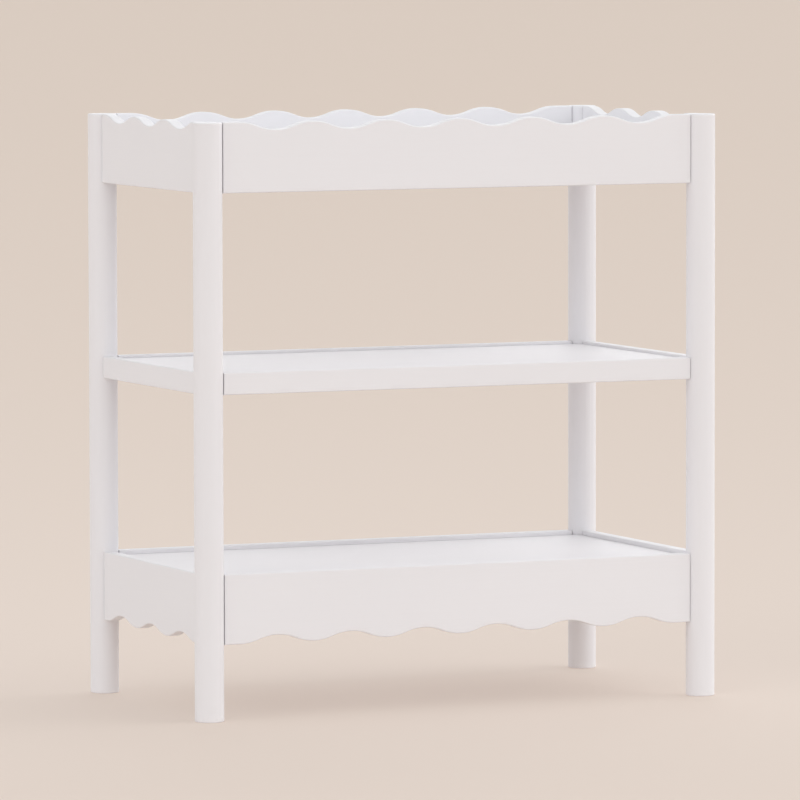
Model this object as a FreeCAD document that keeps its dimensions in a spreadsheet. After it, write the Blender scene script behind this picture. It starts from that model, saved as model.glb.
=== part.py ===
"""Open changing table: four round posts, a scalloped tray and two open shelves.

The origin is on the floor under the middle of the table. +X runs to the right
along the front, +Y towards the back and +Z up. Lengths are millimetres.
"""
import FreeCAD, Part
import math
import os

import Sketcher
from FreeCAD import Placement, Rotation, Vector

os.makedirs("parts", exist_ok=True)
doc = FreeCAD.newDocument("changing_table")

# ---------------------------------------------------------------- driving sizes
SIZES = (
    ("overall_height", 914, "floor to the tops of the posts and of the crests"),
    ("post_diameter", 45, "round posts"),
    ("post_spacing_x", 835, "between post axes, along the front"),
    ("post_spacing_y", 431, "between post axes, front to back"),
    ("post_round", 2, "rounding of the posts' ends"),
    ("board_thickness", 18, "every rail and apron"),
    ("board_round", 2, "rounding of the boards' long edges"),
    ("board_depth", 108, "scalloped boards, straight edge to crest"),
    ("scallop_pitch", 123, "crest to crest"),
    ("scallop_depth", 12, "crest to dip"),
    ("scallops_long", 6, "dips along the front and back boards"),
    ("scallops_end", 3, "dips along the end boards"),
    ("apron_top", 225, "height of the aprons' straight edge"),
    ("shelf_rail_depth", 34, "plain rails of the middle shelf"),
    ("shelf_rail_top", 533, "height of the middle rails' top edge"),
    ("middle_recess", 4.5, "rim of the middle rails above their panel"),
    ("bottom_recess", 7, "rim of the aprons above their panel"),
    ("panel_thickness", 12, "all three panels"),
    ("panel_gap", 1, "between a panel's edge and a rail or post"),
    ("panel_round", 1, "rounding of the panels' top edge"),
    ("cleat_width", 15, "square strips under the panels"),
    ("cleat_long", 690, "cleats along the front and back"),
    ("cleat_end", 330, "cleats along the ends"),
    ("cleat_round", 1, "rounding of the cleats' free lower edge"),
    ("dowel_diameter", 8, "fluted wooden dowels"),
    ("dowel_length", 30, "half in the rail and half in the post"),
    ("dowel_clearance", 1, "bore left open past each end of a dowel"),
    ("flute_radius", 0.5, "glue flutes along a dowel"),
    ("flutes", 12, "flutes round a dowel"),
    ("board_dowel_low", 22, "dowel, from a scalloped board's straight edge"),
    ("board_dowel_high", 92, "dowel, from a scalloped board's straight edge"),
    ("shelf_dowel_low", 9, "dowel, above a plain rail's lower edge"),
    ("shelf_dowel_high", 25, "dowel, above a plain rail's lower edge"),
    ("cam_low", 45, "cam nut, from a scalloped board's straight edge"),
    ("cam_high", 70, "cam nut, from a scalloped board's straight edge"),
    ("cam_diameter", 15, "cam nut"),
    ("cam_length", 12.5, "cam nut, along its own axis"),
    ("cam_setback", 34, "board end to the middle of a cam nut"),
    ("cross_width", 2, "driving cross of a cam nut"),
    ("cross_span", 9, "driving cross of a cam nut"),
    ("cross_depth", 1.2, "driving cross of a cam nut"),
    ("bolt_thread", 6, "cam bolt, diameter in the post"),
    ("bolt_bite", 11, "cam bolt, depth in the post"),
    ("bolt_stop", 7.6, "cam bolt, diameter of its stop at the post"),
    ("bolt_stop_width", 1.5, "cam bolt, thickness of its stop"),
    ("bolt_shank", 5, "cam bolt, diameter in the board"),
    ("bolt_head", 6.6, "cam bolt, diameter of its head in the cam nut"),
    ("bolt_head_width", 4, "cam bolt, thickness of its head"),
    ("bolt_bore", 8, "bore along the board and into the cam nut"),
    ("cap_diameter", 17, "cover cap on a cam nut"),
    ("cap_height", 1.5, "cover cap on a cam nut"),
    ("cap_round", 0.8, "rounding of a cap's rim"),
    ("screw_shank", 4, "countersunk screws, diameter"),
    ("screw_head", 7.6, "countersunk screws, head diameter"),
    ("screw_point", 4, "countersunk screws, length of the point"),
    ("screw_cross_width", 1, "driving cross of a screw"),
    ("cleat_screw_length", 28, "cleat to rail"),
    ("panel_screw_length", 23, "cleat to panel"),
    ("cleat_screws_long", 4, "screws from a long cleat into its rail"),
    ("cleat_screws_end", 2, "screws from an end cleat into its rail"),
    ("panel_screws_long", 3, "screws from a long cleat into its panel"),
    ("panel_screws_end", 1, "screws from an end cleat into its panel"),
    ("screw_pitch_long", 200, "between the screws of a long cleat"),
    ("screw_pitch_end", 240, "between the screws of an end cleat"),
)
sheet = doc.addObject("Spreadsheet::Sheet", "Sizes")
for row, (alias, number, note) in enumerate(SIZES, start=1):
    sheet.set(f"A{row}", str(number))
    sheet.setAlias(f"A{row}", alias)
    sheet.set(f"B{row}", note)
doc.recompute()


def value(expression):
    """What an expression over the sheet's cells comes to."""
    return float(sheet.evalExpression(expression))


# ---------------------------------------------------------------- shared expressions
HALF_X = "(Sizes.post_spacing_x / 2)"
HALF_Y = "(Sizes.post_spacing_y / 2)"
HALF_BOARD = "(Sizes.board_thickness / 2)"
POST_RADIUS = "(Sizes.post_diameter / 2)"
SCREW_HEAD_DEPTH = "((Sizes.screw_head - Sizes.screw_shank) / 2)"

# Three equal arcs that meet tangentially make one scallop of this pitch and depth.
ARC_RADIUS = "(Sizes.scallop_pitch ^ 2 / (16 * Sizes.scallop_depth) + Sizes.scallop_depth / 4)"

# A rail's ends touch the posts along one line, on the posts' axes' plane.
RAIL_LENGTHS = {
    "long": "(Sizes.post_spacing_x - Sizes.post_diameter)",
    "end": "(Sizes.post_spacing_y - Sizes.post_diameter)",
}

# Every side of the table: its kind of rail, its turn from the front in degrees,
# and where the middle of its rails stands.
SIDES = {
    "front": ("long", 0, "0", f"-{HALF_Y}"),
    "right": ("end", 90, HALF_X, "0"),
    "back": ("long", 180, "0", HALF_Y),
    "left": ("end", 270, f"-{HALF_X}", "0"),
}

# The scalloped levels: the height of the boards' straight edge, and 1 where the
# scallops point up from it or -1 where they point down.
TRAY_EDGE = "(Sizes.overall_height - Sizes.board_depth)"
APRON_EDGE = "Sizes.apron_top"
SCALLOPED_LEVELS = {"tray_rail": (TRAY_EDGE, 1), "apron": (APRON_EDGE, -1)}
SHELF_EDGE = "(Sizes.shelf_rail_top - Sizes.shelf_rail_depth)"

# The underside of each level's panel, which is the top of its cleats.
PANEL_BASES = {
    "tray": f"({TRAY_EDGE} + Sizes.cleat_width)",
    "middle_shelf": "(Sizes.shelf_rail_top - Sizes.middle_recess - Sizes.panel_thickness)",
    "bottom_shelf": f"({APRON_EDGE} - Sizes.bottom_recess - Sizes.panel_thickness)",
}

UP = Vector(0, 0, 1)
TO_Y = Rotation(UP, Vector(0, 1, 0))
TO_X = Rotation(UP, Vector(1, 0, 0))
TOLERANCE = 1e-6


# ---------------------------------------------------------------- binding and placing
def bind(thing, **expressions):
    """Bind an object's properties to expressions."""
    for name, expression in expressions.items():
        thing.setExpression(name, expression)


def stand(thing, turn=Rotation(), x="0", y="0", z="0"):
    """Turn an object and bind its place."""
    thing.Placement = Placement(Vector(value(x), value(y), value(z)), turn)
    for axis, expression in (("x", x), ("y", y), ("z", z)):
        thing.setExpression(f"Placement.Base.{axis}", expression)


def primitive(kind, name, turn=Rotation(), x="0", y="0", z="0", **sizes):
    """A Part primitive with bound sizes and a bound place."""
    thing = doc.addObject(f"Part::{kind}", name)
    bind(thing, **sizes)
    stand(thing, turn, x, y, z)
    return thing


def new_body(label):
    body = doc.addObject("PartDesign::Body", label)
    body.Label = label
    return body


def origin_feature(body, role):
    """One of a body's own origin planes or axes."""
    return next(feature for feature in body.Origin.OriginFeatures if feature.Role == role)


# ---------------------------------------------------------------- sketches
def new_sketch(body, name, role):
    """An empty sketch on one of a body's origin planes."""
    sketch = body.newObject("Sketcher::SketchObject", name)
    sketch.AttachmentSupport = [(origin_feature(body, role), "")]
    sketch.MapMode = "FlatFace"
    return sketch


def constrain(sketch, kind, *where):
    """Add a constraint that has no size, and return its index."""
    return sketch.addConstraint(Sketcher.Constraint(kind, *where))


def dimension(sketch, expression, kind, *where):
    """Add a constraint whose size is bound to an expression."""
    index = constrain(sketch, kind, *where, value(expression))
    bind(sketch, **{f"Constraints[{index}]": expression})


def pin_point(sketch, geometry, point, x=None, y=None):
    """Bind how far a point lies from the sketch's origin, across and up."""
    for kind, axis, expression in (("DistanceX", -2, x), ("DistanceY", -1, y)):
        if expression == "0":
            constrain(sketch, "PointOnObject", geometry, point, axis)
        elif expression is not None:
            dimension(sketch, expression, kind, -1, 1, geometry, point)


def polygon(sketch, corners):
    """A closed outline through corners given as pairs of expressions."""
    points = [Vector(value(x), value(y), 0) for x, y in corners]
    for start, end in zip(points, points[1:] + points[:1]):
        sketch.addGeometry(Part.LineSegment(start, end))
    for line, (x, y) in enumerate(corners):
        constrain(sketch, "Coincident", (line - 1) % len(corners), 2, line, 1)
        pin_point(sketch, line, 1, x, y)


def rectangle(sketch, left, right, bottom, top):
    """An upright rectangle between four expressions."""
    polygon(sketch, ((left, bottom), (right, bottom), (right, top), (left, top)))


def circle(sketch, radius, x="0", y="0"):
    """A circle with a bound centre and radius."""
    centre = Vector(value(x), value(y), 0)
    index = sketch.addGeometry(Part.Circle(centre, UP, value(radius)))
    pin_point(sketch, index, 3, x, y)
    dimension(sketch, radius, "Radius", index)


def scallop(sketch, count):
    """The first scallop of a row, open above the board.

    Half a crest, a dip and half a crest are arcs of one radius that meet
    tangentially, so that a row of scallops is one smooth wave.
    """
    pitch = value("Sizes.scallop_pitch")
    depth = value("Sizes.scallop_depth")
    crest = value("Sizes.board_depth")
    radius = value(ARC_RADIUS)
    first = f"-{count} * Sizes.scallop_pitch / 2"
    start = value(first)
    swing = math.asin(pitch / 4 / radius)
    upward = math.pi / 2
    arcs = (
        (start, crest - radius, upward - swing, upward),
        (start + pitch / 2, crest - depth + radius, -upward - swing, -upward + swing),
        (start + pitch, crest - radius, upward, upward + swing),
    )
    for x, y, begin, end in arcs:
        whole = Part.Circle(Vector(x, y, 0), UP, radius)
        sketch.addGeometry(Part.ArcOfCircle(whole, begin, end))
    lid = [
        Vector(start + pitch, crest, 0),
        Vector(start + pitch, crest + depth, 0),
        Vector(start, crest + depth, 0),
        Vector(start, crest, 0),
    ]
    for begin, end in zip(lid, lid[1:]):
        sketch.addGeometry(Part.LineSegment(begin, end))

    left_crest, dip, right_crest, right_side, top, left_side = range(6)
    constrain(sketch, "Tangent", left_crest, 1, dip, 1)
    constrain(sketch, "Tangent", dip, 2, right_crest, 2)
    constrain(sketch, "Coincident", right_crest, 1, right_side, 1)
    constrain(sketch, "Coincident", right_side, 2, top, 1)
    constrain(sketch, "Coincident", top, 2, left_side, 1)
    constrain(sketch, "Coincident", left_side, 2, left_crest, 2)
    constrain(sketch, "Vertical", right_side)
    constrain(sketch, "Horizontal", top)
    constrain(sketch, "Vertical", left_side)
    constrain(sketch, "Vertical", left_crest, 3, left_crest, 2)
    constrain(sketch, "Vertical", right_crest, 3, right_crest, 1)
    constrain(sketch, "Equal", left_crest, dip)
    constrain(sketch, "Equal", left_crest, right_crest)
    dimension(sketch, ARC_RADIUS, "Radius", left_crest)
    pin_point(sketch, left_crest, 3, first, f"Sizes.board_depth - {ARC_RADIUS}")
    pin_point(sketch, dip, 3, f"{first} + Sizes.scallop_pitch / 2")
    pin_point(sketch, right_crest, 3, f"{first} + Sizes.scallop_pitch")
    pin_point(sketch, top, 1, None, "Sizes.board_depth + Sizes.scallop_depth")


# ---------------------------------------------------------------- features
def pad(body, sketch, length, side_type="One side"):
    """Grow a sketch into a solid."""
    feature = body.newObject("PartDesign::Pad", "Pad")
    feature.Profile = sketch
    feature.SideType = side_type
    bind(feature, Length=length)
    doc.recompute()


def pocket(body, sketch, length):
    """Cut a sketch out of a solid, to both sides of the sketch's plane."""
    before = body.Shape.Volume
    feature = body.newObject("PartDesign::Pocket", "Pocket")
    feature.Profile = sketch
    feature.SideType = "Symmetric"
    bind(feature, Length=length)
    doc.recompute()
    assert feature.Shape.Volume < before - TOLERANCE, f"{body.Label}: a pocket cuts nothing"
    return feature


def repeat(body, feature, kind, axis, **expressions):
    """Repeat a feature in a linear or polar pattern, which becomes the body's tip."""
    pattern = body.newObject(f"PartDesign::{kind}", kind)
    pattern.Originals = [feature]
    if kind == "LinearPattern":
        pattern.Direction = (origin_feature(body, axis), [""])
        pattern.Mode = "Spacing"
    else:
        pattern.Axis = (origin_feature(body, axis), [""])
    bind(pattern, **expressions)
    body.Tip = pattern
    doc.recompute()


def revolve(body, sketch):
    """Turn a sketch once round its horizontal axis."""
    feature = body.newObject("PartDesign::Revolution", "Revolution")
    feature.Profile = sketch
    feature.ReferenceAxis = (sketch, ["H_Axis"])
    doc.recompute()


def round_edges(body, radius, wanted):
    """Fillet the edges whose bounding boxes `wanted` picks."""
    tip = body.Tip
    edges = enumerate(tip.Shape.Edges, start=1)
    feature = body.newObject("PartDesign::Fillet", "Fillet")
    feature.Base = (tip, [f"Edge{number}" for number, edge in edges if wanted(edge.BoundBox)])
    bind(feature, Radius=radius)
    doc.recompute()


def lengthwise(box):
    """True for an edge along a board that is drawn in the XZ plane."""
    return box.YLength < TOLERANCE < box.XLength


# ---------------------------------------------------------------- wooden blanks
def post_blank(label, side_x, side_y):
    """A round post whose ends are slightly rounded."""
    body = new_body(label)
    section = new_sketch(body, "Section", "XY_Plane")
    circle(section, POST_RADIUS)
    pad(body, section, "Sizes.overall_height")
    round_edges(body, "Sizes.post_round", lambda box: box.ZLength < TOLERANCE)
    stand(body, x=f"{side_x} * {HALF_X}", y=f"{side_y} * {HALF_Y}")
    return body


def square_cut_board(label, length, depth):
    """A board along its own X, with its straight edge at height 0 and its middle at Y 0."""
    body = new_body(label)
    outline = new_sketch(body, "Outline", "XZ_Plane")
    rectangle(outline, f"-{length} / 2", f"{length} / 2", "0", depth)
    pad(body, outline, "Sizes.board_thickness", "Symmetric")
    return body


def scalloped_blank(label, side, edge, way):
    """A deep board with a scalloped edge above (way 1) or below (way -1) its straight one."""
    kind, angle, x, y = SIDES[side]
    count = f"Sizes.scallops_{kind}"
    body = square_cut_board(label, RAIL_LENGTHS[kind], "Sizes.board_depth")
    outline = new_sketch(body, "Scallop", "XZ_Plane")
    scallop(outline, count)
    first = pocket(body, outline, "2 * Sizes.board_thickness")
    repeat(body, first, "LinearPattern", "X_Axis", Offset="Sizes.scallop_pitch", Occurrences=count)
    round_edges(body, "Sizes.board_round", lengthwise)
    flip = Rotation(Vector(1, 0, 0), 0 if way == 1 else 180)
    stand(body, Rotation(UP, angle) * flip, x, y, edge)
    return body


def plain_blank(label, side):
    """A shallow straight rail of the middle shelf."""
    kind, angle, x, y = SIDES[side]
    body = square_cut_board(label, RAIL_LENGTHS[kind], "Sizes.shelf_rail_depth")
    round_edges(body, "Sizes.board_round", lengthwise)
    stand(body, Rotation(UP, angle), x, y, SHELF_EDGE)
    return body


def panel_blank(label, base):
    """A flat panel between four rails, its corners hollowed to pass the posts."""
    body = new_body(label)
    outline = new_sketch(body, "Outline", "XY_Plane")
    half_x = f"({HALF_X} - {HALF_BOARD} - Sizes.panel_gap)"
    half_y = f"({HALF_Y} - {HALF_BOARD} - Sizes.panel_gap)"
    rectangle(outline, f"-{half_x}", half_x, f"-{half_y}", half_y)
    pad(body, outline, "Sizes.panel_thickness")
    hollows = new_sketch(body, "Hollows", "XY_Plane")
    for side_x in (-1, 1):
        for side_y in (-1, 1):
            centre = (f"{side_x} * {HALF_X}", f"{side_y} * {HALF_Y}")
            circle(hollows, f"{POST_RADIUS} + Sizes.panel_gap", *centre)
    pocket(body, hollows, "3 * Sizes.panel_thickness")
    top = value("Sizes.panel_thickness")
    round_edges(body, "Sizes.panel_round", lambda box: box.ZMin > top - TOLERANCE)
    stand(body, z=base)
    return body


def cleat_blank(label, side, base):
    """A square strip on a rail's inner face, just under a panel."""
    kind, angle, x, y = SIDES[side]
    body = new_body(label)
    section = new_sketch(body, "Section", "YZ_Plane")
    inner = f"{HALF_BOARD} + Sizes.cleat_width"
    rectangle(section, HALF_BOARD, inner, "-Sizes.cleat_width", "0")
    pad(body, section, f"Sizes.cleat_{kind}", "Symmetric")
    reach, bottom = value(inner), -value("Sizes.cleat_width")
    round_edges(
        body,
        "Sizes.cleat_round",
        lambda box: box.YMin > reach - TOLERANCE and box.ZMax < bottom + TOLERANCE,
    )
    stand(body, Rotation(UP, angle), x, y, base)
    return body


# ---------------------------------------------------------------- one of each fastener
# A joint's own frame has its origin where the rail's end meets the post, X into
# the rail and Y to the inside of the table. A screw's own frame has its origin
# at the middle of its head, and X along its shank.
def dowel():
    """A fluted dowel, half in the post and half in the rail."""
    body = new_body("dowel")
    section = new_sketch(body, "Section", "YZ_Plane")
    circle(section, "Sizes.dowel_diameter / 2")
    pad(body, section, "Sizes.dowel_length", "Symmetric")
    groove = new_sketch(body, "Flute", "YZ_Plane")
    circle(groove, "Sizes.flute_radius", "Sizes.dowel_diameter / 2", "0")
    flute = pocket(body, groove, "2 * Sizes.dowel_length")
    repeat(body, flute, "PolarPattern", "X_Axis", Occurrences="Sizes.flutes")
    return body


def cam_bolt():
    """A bolt with its thread in the post and its head inside the cam nut."""
    body = new_body("cam_bolt")
    profile = new_sketch(body, "Profile", "XZ_Plane")
    head_start = "Sizes.cam_setback - Sizes.bolt_head_width / 2"
    head_end = "Sizes.cam_setback + Sizes.bolt_head_width / 2"
    corners = (
        ("-Sizes.bolt_bite", "0"),
        (head_end, "0"),
        (head_end, "Sizes.bolt_head / 2"),
        (head_start, "Sizes.bolt_head / 2"),
        (head_start, "Sizes.bolt_shank / 2"),
        ("Sizes.bolt_stop_width", "Sizes.bolt_shank / 2"),
        ("Sizes.bolt_stop_width", "Sizes.bolt_stop / 2"),
        ("0", "Sizes.bolt_stop / 2"),
        ("0", "Sizes.bolt_thread / 2"),
        ("-Sizes.bolt_bite", "Sizes.bolt_thread / 2"),
    )
    polygon(profile, corners)
    revolve(body, profile)
    return body


def box(name, x, y, z):
    """A box between a pair of expressions along each axis."""
    lows = [low for low, high in (x, y, z)]
    lengths = [f"{high} - ({low})" for low, high in (x, y, z)]
    return primitive("Box", name, Rotation(), *lows, **dict(zip(("Length", "Width", "Height"), lengths)))


def join(name, parts):
    """A fusion of objects."""
    result = doc.addObject("Part::MultiFuse", name)
    result.Shapes = parts
    return result


def subtract(name, base, tool):
    """One object cut by another."""
    result = doc.addObject("Part::Cut", name)
    result.Base = base
    result.Tool = tool
    return result


def either_way(half):
    """The pair of expressions that a half width spans."""
    return (f"-{half}", half)


def cam_nut():
    """A round cam nut, open at its side for the bolt and crossed for a driver."""
    face = HALF_BOARD
    barrel = primitive(
        "Cylinder", "cam_barrel", TO_Y, "Sizes.cam_setback", f"{face} - Sizes.cam_length",
        Radius="Sizes.cam_diameter / 2", Height="Sizes.cam_length",
    )
    mouth = primitive(
        "Cylinder", "cam_mouth", TO_X,
        Radius="Sizes.bolt_bore / 2", Height="Sizes.cam_setback + Sizes.bolt_head_width",
    )
    wide = ("Sizes.cam_setback - Sizes.cross_span / 2", "Sizes.cam_setback + Sizes.cross_span / 2")
    narrow = ("Sizes.cam_setback - Sizes.cross_width / 2", "Sizes.cam_setback + Sizes.cross_width / 2")
    sunk = (f"{face} - Sizes.cross_depth", face)
    level = box("cam_slot_level", wide, sunk, either_way("Sizes.cross_width / 2"))
    upright = box("cam_slot_upright", narrow, sunk, either_way("Sizes.cross_span / 2"))
    return subtract("cam_nut", barrel, join("cam_hollows", [mouth, level, upright]))


def cam_cap():
    """A thin round cap on the rail's face over a cam nut."""
    body = new_body("cam_cap")
    rim = new_sketch(body, "Rim", "XY_Plane")
    circle(rim, "Sizes.cap_diameter / 2")
    pad(body, rim, "Sizes.cap_height")
    top = value("Sizes.cap_height")
    round_edges(body, "Sizes.cap_round", lambda edge_box: edge_box.ZMin > top - TOLERANCE)
    stand(body, TO_Y, "Sizes.cam_setback", HALF_BOARD)
    return body


def screw_blank(name, length):
    """A countersunk screw without its driver recess, the shape of its hole."""
    body = new_body(f"{name}_blank")
    profile = new_sketch(body, "Profile", "XZ_Plane")
    corners = (
        ("0", "0"),
        (length, "0"),
        (f"{length} - Sizes.screw_point", "Sizes.screw_shank / 2"),
        (SCREW_HEAD_DEPTH, "Sizes.screw_shank / 2"),
        ("0", "Sizes.screw_head / 2"),
    )
    polygon(profile, corners)
    revolve(body, profile)
    return body


def screw(name, blank):
    """The screw itself, crossed for a driver."""
    sunk = ("0", SCREW_HEAD_DEPTH)
    narrow = either_way("Sizes.screw_cross_width / 2")
    wide = either_way("Sizes.screw_shank / 2")
    level = box(f"{name}_slot_level", sunk, wide, narrow)
    upright = box(f"{name}_slot_upright", sunk, narrow, wide)
    return subtract(name, blank, join(f"{name}_cross", [level, upright]))


def dowel_bore():
    """The hole for a dowel, a little longer than the dowel."""
    half = "(Sizes.dowel_length / 2 + Sizes.dowel_clearance)"
    return primitive(
        "Cylinder", "dowel_bore", TO_X, f"-{half}", Radius="Sizes.dowel_diameter / 2", Height=f"2 * {half}"
    )


def cam_bore():
    """The holes for a cam nut and its bolt."""
    thread = primitive(
        "Cylinder", "thread_bore", TO_X, "-Sizes.bolt_bite",
        Radius="Sizes.bolt_thread / 2", Height="Sizes.bolt_bite",
    )
    shank = primitive(
        "Cylinder", "shank_bore", TO_X, Radius="Sizes.bolt_bore / 2", Height="Sizes.cam_setback"
    )
    nut = primitive(
        "Cylinder", "nut_bore", TO_Y, "Sizes.cam_setback", f"{HALF_BOARD} - Sizes.cam_length",
        Radius="Sizes.cam_diameter / 2", Height="Sizes.cam_length",
    )
    return join("cam_bore", [thread, shank, nut])


# ---------------------------------------------------------------- where the fasteners go
def side_frame(side):
    """A side's own frame: X along its rails, Y to the inside of the table."""
    kind, angle, x, y = SIDES[side]
    return Placement(Vector(value(x), value(y), 0), Rotation(UP, angle))


def joint_frames(sides, height):
    """The frames of the joints at both ends of some sides' rails."""
    for side in sides:
        reach = value(RAIL_LENGTHS[SIDES[side][0]]) / 2
        for end in (-1, 1):
            into_rail, inward = Vector(-end, 0, 0), Vector(0, 1, 0)
            turn = Rotation(into_rail, inward, into_rail.cross(inward), "XYZ")
            yield side_frame(side) * Placement(Vector(end * reach, 0, height), turn)


def screw_frames(use, inset, drop, turn):
    """The frames of one kind of cleat screw or panel screw on every level.

    They are spread about the middle of each cleat, `inset` from the middle of
    the rail and `drop` below the panel.
    """
    for base in PANEL_BASES.values():
        for side, (kind, *_) in SIDES.items():
            count, pitch = value(f"Sizes.{use}_screws_{kind}"), value(f"Sizes.screw_pitch_{kind}")
            for index in range(round(count)):
                place = Vector((index - (count - 1) / 2) * pitch, inset, value(base) - drop)
                yield side_frame(side) * Placement(place, turn)


def dowel_frames():
    """Two dowels in every joint."""
    for edge, way in SCALLOPED_LEVELS.values():
        for distance in ("Sizes.board_dowel_low", "Sizes.board_dowel_high"):
            yield from joint_frames(SIDES, value(edge) + way * value(distance))
    for distance in ("Sizes.shelf_dowel_low", "Sizes.shelf_dowel_high"):
        yield from joint_frames(SIDES, value(SHELF_EDGE) + value(distance))


def cam_frames():
    """Two cams in every joint of the long scalloped boards."""
    for edge, way in SCALLOPED_LEVELS.values():
        for distance in ("Sizes.cam_low", "Sizes.cam_high"):
            yield from joint_frames(("front", "back"), value(edge) + way * value(distance))


def placed(pattern, frames):
    """Copies of a pattern's shape in frames given in the table's coordinates."""
    copies = []
    for frame in frames:
        copy = pattern.Shape.copy()
        copy.Placement = frame * copy.Placement
        copies.append(copy)
    return copies


def group(label, pattern, frames):
    """One node that holds every copy of a fastener as a separate solid."""
    node = doc.addObject("Part::Feature", label)
    node.Label = label
    node.Shape = Part.Compound(placed(pattern, frames))
    return node


def drill(label, blank, bores):
    """The finished piece: a blank less every bore that reaches it."""
    reach = blank.Shape.BoundBox
    holes = doc.addObject("Part::Feature", f"{label}_bores")
    holes.Shape = Part.Compound([bore for bore in bores if bore.BoundBox.intersect(reach)])
    piece = subtract(label, blank, holes)
    piece.Label = label
    return piece


# ---------------------------------------------------------------- the table
DOWELS = list(dowel_frames())
CAMS = list(cam_frames())
SIDEWAYS = Rotation(Vector(0, -1, 0), Vector(1, 0, 0), Vector(0, 0, 1), "XYZ")
UPWARD = Rotation(UP, Vector(0, 1, 0), Vector(-1, 0, 0), "XYZ")
half_board, cleat_width = value(HALF_BOARD), value("Sizes.cleat_width")
CLEAT_SCREWS = list(screw_frames("cleat", half_board + cleat_width, cleat_width / 2, SIDEWAYS))
PANEL_SCREWS = list(screw_frames("panel", half_board + cleat_width / 2, cleat_width, UPWARD))

patterns = {
    "dowel": dowel(),
    "dowel_bore": dowel_bore(),
    "cam_bolt": cam_bolt(),
    "cam_nut": cam_nut(),
    "cam_cap": cam_cap(),
    "cam_bore": cam_bore(),
    "cleat_hole": screw_blank("cleat_screw", "Sizes.cleat_screw_length"),
    "panel_hole": screw_blank("panel_screw", "Sizes.panel_screw_length"),
}
patterns["cleat_screw"] = screw("cleat_screw", patterns["cleat_hole"])
patterns["panel_screw"] = screw("panel_screw", patterns["panel_hole"])
doc.recompute()

blanks = {}
for depth_name, side_y in (("front", -1), ("back", 1)):
    for side_name, side_x in (("left", -1), ("right", 1)):
        name = f"post_{depth_name}_{side_name}"
        blanks[name] = post_blank(f"{name}_blank", side_x, side_y)
for side in SIDES:
    for level, (edge, way) in SCALLOPED_LEVELS.items():
        blanks[f"{level}_{side}"] = scalloped_blank(f"{level}_{side}_blank", side, edge, way)
    blanks[f"shelf_rail_{side}"] = plain_blank(f"shelf_rail_{side}_blank", side)
    for level, base in PANEL_BASES.items():
        blanks[f"{level}_cleat_{side}"] = cleat_blank(f"{level}_cleat_{side}_blank", side, base)
for level, base in PANEL_BASES.items():
    blanks[f"{level}_panel"] = panel_blank(f"{level}_panel_blank", base)
doc.recompute()

bores = placed(patterns["dowel_bore"], DOWELS)
bores += placed(patterns["cam_bore"], CAMS)
bores += placed(patterns["cleat_hole"], CLEAT_SCREWS)
bores += placed(patterns["panel_hole"], PANEL_SCREWS)

nodes = [drill(name, blank, bores) for name, blank in blanks.items()]
nodes.append(group("wood_dowels", patterns["dowel"], DOWELS))
nodes.append(group("cam_bolts", patterns["cam_bolt"], CAMS))
nodes.append(group("cam_nuts", patterns["cam_nut"], CAMS))
nodes.append(group("cam_caps", patterns["cam_cap"], CAMS))
nodes.append(group("cleat_screws", patterns["cleat_screw"], CLEAT_SCREWS))
nodes.append(group("panel_screws", patterns["panel_screw"], PANEL_SCREWS))
doc.recompute()

# ---------------------------------------------------------------- checks and files
for thing in doc.Objects:
    assert not {"Invalid", "Error"} & set(thing.State), f"{thing.Label} failed: {thing.State}"
for node in nodes:
    assert not node.Shape.isNull() and node.Shape.isValid(), f"{node.Label}: bad shape"
    assert node.Shape.Solids, f"{node.Label}: no solid"
for node in nodes:
    node.Shape.exportStep(os.path.join("parts", f"{node.Label}.step"))
    print(f"{node.Label}: {len(node.Shape.Solids)} solid(s), {node.Shape.Volume / 1000:.1f} cm3")
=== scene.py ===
"""A white painted changing table on a pale floor in soft studio light.

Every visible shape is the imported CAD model's own. This script gives each node
its material and sets up the floor, the lights and the camera, in metres.
"""
import math

import bpy
from mathutils import Matrix, Vector


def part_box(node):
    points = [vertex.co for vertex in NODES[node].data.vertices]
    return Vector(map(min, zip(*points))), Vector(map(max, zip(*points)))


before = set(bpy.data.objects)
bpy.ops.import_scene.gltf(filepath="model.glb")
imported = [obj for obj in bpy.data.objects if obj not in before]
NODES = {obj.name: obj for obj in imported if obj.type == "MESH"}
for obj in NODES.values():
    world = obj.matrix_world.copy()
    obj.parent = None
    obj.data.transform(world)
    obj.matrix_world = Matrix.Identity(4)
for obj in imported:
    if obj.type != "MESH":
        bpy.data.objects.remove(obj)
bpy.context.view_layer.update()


# ---------------------------------------------------------------- node helpers
# The Mix node's colour sockets. Its other data types have sockets of the same names.
MIX_FIRST, MIX_SECOND, MIX_RESULT = 6, 7, 2


def feed(tree, socket, source):
    """Link a socket to another node's output, or set its value."""
    if isinstance(source, bpy.types.NodeSocket):
        tree.links.new(source, socket)
    else:
        socket.default_value = source


def opaque(colour):
    """A plain colour with full alpha, or a node's output as it is."""
    return colour if isinstance(colour, bpy.types.NodeSocket) else (*colour, 1)


def shifted(colour, amount):
    """A colour made a little lighter, or darker by a negative amount."""
    return tuple(channel + amount for channel in colour)


def along(axis, across, lengthwise):
    """A pattern's scales along one axis and across it: 0 is X, 1 is Y, 2 is Z."""
    stretch = [across] * 3
    stretch[axis] = lengthwise
    return stretch


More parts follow.
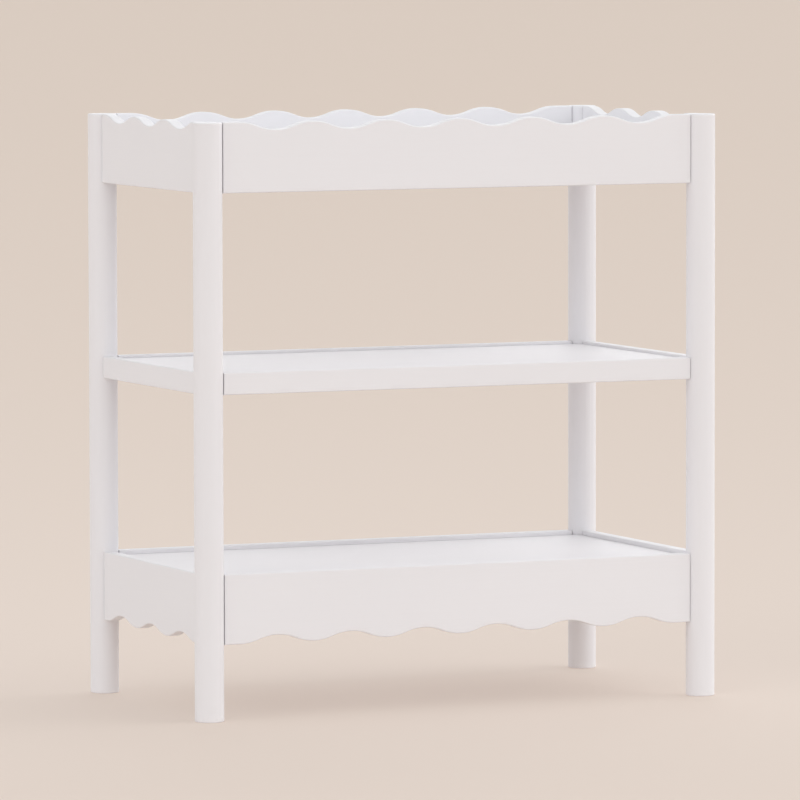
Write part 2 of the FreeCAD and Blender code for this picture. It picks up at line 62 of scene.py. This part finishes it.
class Surface:
    """A Principled material that is built up from procedural patterns."""

    def __init__(self, name, colour, roughness, **sockets):
        self.material = bpy.data.materials.new(name)
        self.material.use_nodes = True
        self.tree = self.material.node_tree
        self.shader = self.tree.nodes["Principled BSDF"]
        self.shader.inputs["Base Color"].default_value = (*colour, 1)
        self.shader.inputs["Roughness"].default_value = roughness
        for socket, setting in sockets.items():
            self.shader.inputs[socket.replace("_", " ")].default_value = setting
        self.bumps = None

    def node(self, kind, inputs=None, **settings):
        """Add a node, set its properties, and set or link its inputs."""
        made = self.tree.nodes.new(f"ShaderNode{kind}")
        for setting, choice in settings.items():
            setattr(made, setting, choice)
        for socket, source in (inputs or {}).items():
            feed(self.tree, made.inputs[socket], source)
        return made

    def place(self, stretch=(1, 1, 1)):
        """The point in the table's own metres, scaled along each axis."""
        point = self.node("TexCoord").outputs["Object"]
        return self.node("Mapping", {"Vector": point, "Scale": stretch}).outputs["Vector"]

    def noise(self, scale, stretch=(1, 1, 1), detail=3, roughness=0.5, distortion=0):
        """Fractal noise between 0 and 1, about `scale` cells to the metre."""
        inputs = {
            "Vector": self.place(stretch),
            "Scale": scale,
            "Detail": detail,
            "Roughness": roughness,
            "Distortion": distortion,
        }
        return self.node("TexNoise", inputs).outputs["Fac"]

    def spread(self, pattern, low, high, start=0.3, stop=0.7):
        """A pattern's range from start to stop, mapped to low..high and cut off outside it."""
        inputs = {
            "Value": pattern,
            "From Min": start,
            "From Max": stop,
            "To Min": low,
            "To Max": high,
        }
        return self.node("MapRange", inputs).outputs["Result"]

    def blend(self, pattern, first, second):
        """Two colours mixed by a pattern, the first where it is 0."""
        inputs = {"Factor": pattern, MIX_FIRST: opaque(first), MIX_SECOND: opaque(second)}
        return self.node("Mix", inputs, data_type="RGBA").outputs[MIX_RESULT]

    def connect(self, socket, source):
        """Link a pattern to one of the shader's inputs."""
        self.tree.links.new(source, self.shader.inputs[socket])

    def relief(self, pattern, depth):
        """Add a bump `depth` metres deep on top of the ones before it."""
        inputs = {"Height": pattern, "Distance": depth, "Strength": 1.0}
        if self.bumps is not None:
            inputs["Normal"] = self.bumps
        self.bumps = self.node("Bump", inputs).outputs["Normal"]
        self.connect("Normal", self.bumps)


# ---------------------------------------------------------------- materials
ACROSS, DEEP, UPRIGHT = range(3)
PAINT_WHITE = (0.826, 0.821, 0.848)
GRAIN_WHITE = (0.79, 0.784, 0.804)
CAP_WHITE = (0.83, 0.825, 0.83)
HALF_GLOW = 6.0


def satin_paint(axis, name):
    """Sprayed satin white paint, with the wood's grain just telling through it."""
    paint = Surface(name, PAINT_WHITE, 0.56)
    clouds = paint.spread(paint.noise(5, along(axis, 1, 0.4), detail=2), 0, 1)
    grain = paint.noise(1, along(axis, 420, 9), detail=4, roughness=0.6, distortion=0.3)
    peel = paint.noise(1100, detail=2, roughness=0.4)
    shade = paint.blend(clouds, shifted(PAINT_WHITE, -0.01), shifted(PAINT_WHITE, 0.01))
    paint.connect("Base Color", paint.blend(paint.spread(grain, 0, 0.16), shade, GRAIN_WHITE))
    paint.connect("Roughness", paint.spread(paint.noise(38), 0.52, 0.6))
    paint.relief(grain, 0.00003)
    paint.relief(peel, 0.00002)
    return paint.material


def beech():
    """Bare planed beech with short flecks.

    Its growth layers lie level, so that the grain runs along dowels laid either way.
    """
    wood = Surface("bare_beech", (0.62, 0.42, 0.25), 0.6)
    bands = wood.noise(1, along(UPRIGHT, 7, 160), detail=4, distortion=0.8)
    flecks = wood.noise(1, along(UPRIGHT, 160, 1500), detail=1)
    tone = wood.blend(wood.spread(bands, 0, 1), (0.66, 0.46, 0.28), (0.5, 0.32, 0.18))
    marks = wood.spread(flecks, 0, 0.5, start=0.55, stop=0.75)
    wood.connect("Base Color", wood.blend(marks, tone, (0.38, 0.23, 0.13)))
    wood.connect("Roughness", wood.spread(bands, 0.52, 0.68))
    wood.relief(bands, 0.00008)
    return wood.material


def zinc(name, colour, smoothest, roughest, relief):
    """Plated or cast zinc with a faint crystalline mottle."""
    metal = Surface(name, colour, 0.4, Metallic=1.0)
    mottle = metal.noise(900, roughness=0.6)
    dark = [0.82 * channel for channel in colour]
    metal.connect("Base Color", metal.blend(metal.spread(mottle, 0, 1), dark, colour))
    metal.connect("Roughness", metal.spread(mottle, smoothest, roughest))
    metal.relief(metal.noise(2600, detail=2), relief)
    return metal.material


def cap_plastic():
    """Moulded white plastic with a fine spark-eroded texture."""
    plastic = Surface("white_plastic", CAP_WHITE, 0.5)
    clouds = plastic.spread(plastic.noise(60, detail=2), 0, 1)
    darker, lighter = shifted(CAP_WHITE, -0.01), shifted(CAP_WHITE, 0.02)
    plastic.connect("Base Color", plastic.blend(clouds, darker, lighter))
    plastic.connect("Roughness", plastic.spread(plastic.noise(700), 0.45, 0.6))
    plastic.relief(plastic.noise(3200, detail=1), 0.00003)
    return plastic.material


def glowing_floor_finish():
    """Pale warm plaster with a little painted glow, so that shadows on it stay light.

    The painted glow dims with the distance from the table, halfway at HALF_GLOW.
    """
    plaster = Surface(
        "floor_plaster_painted_glow", (0.4, 0.35, 0.31), 0.9, Specular_IOR_Level=0.1, Emission_Strength=1.0
    )
    away = plaster.node("VectorMath", {0: plaster.place()}, operation="LENGTH").outputs["Value"]
    beyond = plaster.node("Math", {0: away, 1: HALF_GLOW}, operation="ADD").outputs["Value"]
    glow_fade = plaster.node("Math", {0: away, 1: beyond}, operation="DIVIDE").outputs["Value"]
    # Painted glow: the floor's emission colour, brighter near the table and dimmer far from it.
    glow_near, glow_far = (0.37, 0.32, 0.291), (0.245, 0.196, 0.161)
    plaster.connect("Emission Color", plaster.blend(glow_fade, glow_near, glow_far))
    return plaster.material


PAINTS = {
    ACROSS: satin_paint(ACROSS, "white_paint_across"),
    DEEP: satin_paint(DEEP, "white_paint_deep"),
    UPRIGHT: satin_paint(UPRIGHT, "white_paint_upright"),
}
HARDWARE = {
    "wood_dowels": beech(),
    "cam_bolts": zinc("bright_zinc", (0.72, 0.73, 0.76), 0.22, 0.38, 0.00001),
    "cam_nuts": zinc("cast_zinc", (0.58, 0.59, 0.61), 0.4, 0.6, 0.00003),
    "cam_caps": cap_plastic(),
}
HARDWARE["cleat_screws"] = HARDWARE["panel_screws"] = HARDWARE["cam_bolts"]


def grain_axis(name):
    """Boards are cut with their grain along their longest side."""
    low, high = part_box(name)
    return max(range(3), key=lambda axis: high[axis] - low[axis])


for name, node in NODES.items():
    finish = HARDWARE.get(name) or PAINTS[grain_axis(name)]
    for slot in node.material_slots:
        slot.material = finish


# ---------------------------------------------------------------- stage
FLOOR_REACH = 200

# Name, azimuth and elevation in degrees, and strength of each soft light.
LIGHTS = (
    ("key", 80, 42, 0.7),
    ("front", 40, 20, 0.4),
    ("fill", -24, 42, 0.2),
    ("left", -70, 30, 0.5),
    ("rim", 115, 14, 0.35),
    ("back", 150, 25, 0.55),
)
# How wide each light looks from the table, in degrees.
SOFTNESS = 50


def add_floor():
    """A plain floor that fills the view behind the table."""
    mesh = bpy.data.meshes.new("floor")
    corners = [(FLOOR_REACH * x, FLOOR_REACH * y, 0) for x, y in ((-1, -1), (1, -1), (1, 1), (-1, 1))]
    mesh.from_pydata(corners, [], [(0, 1, 2, 3)])
    mesh.materials.append(glowing_floor_finish())
    floor = bpy.data.objects.new("floor", mesh)
    bpy.context.scene.collection.objects.link(floor)


def direction(azimuth, elevation):
    """The way from the table to a point round it, in degrees as seen from above."""
    around, above = math.radians(azimuth), math.radians(elevation)
    level = math.cos(above)
    return Vector((math.sin(around) * level, -math.cos(around) * level, math.sin(above)))


def aim(thing, way):
    """Point a light or camera back along a direction."""
    thing.rotation_mode = "QUATERNION"
    thing.rotation_quaternion = (-way).to_track_quat("-Z", "Y")


def add_sun(name, azimuth, elevation, strength):
    """A broad soft light that reaches the whole floor evenly."""
    light = bpy.data.lights.new(name, "SUN")
    light.energy = strength
    light.angle = math.radians(SOFTNESS)
    sun = bpy.data.objects.new(name, light)
    bpy.context.scene.collection.objects.link(sun)
    aim(sun, direction(azimuth, elevation))


def add_sky(overhead, horizon, falloff):
    """Even light from above the floor, brighter towards the horizon all round."""
    world = bpy.data.worlds.new("studio")
    world.use_nodes = True
    tree = world.node_tree

    def maths(operation, *sources):
        made = tree.nodes.new("ShaderNodeMath")
        made.operation = operation
        for socket, source in zip(made.inputs, sources):
            feed(tree, socket, source)
        return made.outputs["Value"]

    upward = tree.nodes.new("ShaderNodeSeparateXYZ")
    tree.links.new(tree.nodes.new("ShaderNodeTexCoord").outputs["Generated"], upward.inputs["Vector"])
    level = maths("SUBTRACT", 1.0, maths("ABSOLUTE", upward.outputs["Z"]))
    brightness = maths("ADD", overhead, maths("MULTIPLY", horizon, maths("POWER", level, falloff)))
    background = tree.nodes["Background"]
    background.inputs["Color"].default_value = (1, 1, 1, 1)
    tree.links.new(brightness, background.inputs["Strength"])
    bpy.context.scene.world = world


def add_camera(target, azimuth, elevation, distance, lens, roll):
    """A long lens from the table's front left, a little above it."""
    data = bpy.data.cameras.new("camera")
    data.lens = lens
    data.clip_end = 2.5 * FLOOR_REACH        # past the floor's corners
    camera = bpy.data.objects.new("camera", data)
    bpy.context.scene.collection.objects.link(camera)
    way = direction(azimuth, elevation)
    camera.location = target + way * distance
    aim(camera, way)
    camera.rotation_quaternion @= Matrix.Rotation(math.radians(roll), 3, "Z").to_quaternion()
    bpy.context.scene.camera = camera


add_floor()
add_sky(overhead=0.52, horizon=0.9, falloff=4.0)
for light in LIGHTS:
    add_sun(*light)
add_camera(
    target=Vector((-0.0148, -0.0284, 0.4663)),
    azimuth=-24.06,
    elevation=4.29,
    distance=11.263,
    lens=323.4,
    roll=-0.107,
)
bpy.context.scene.view_settings.view_transform = "Standard"
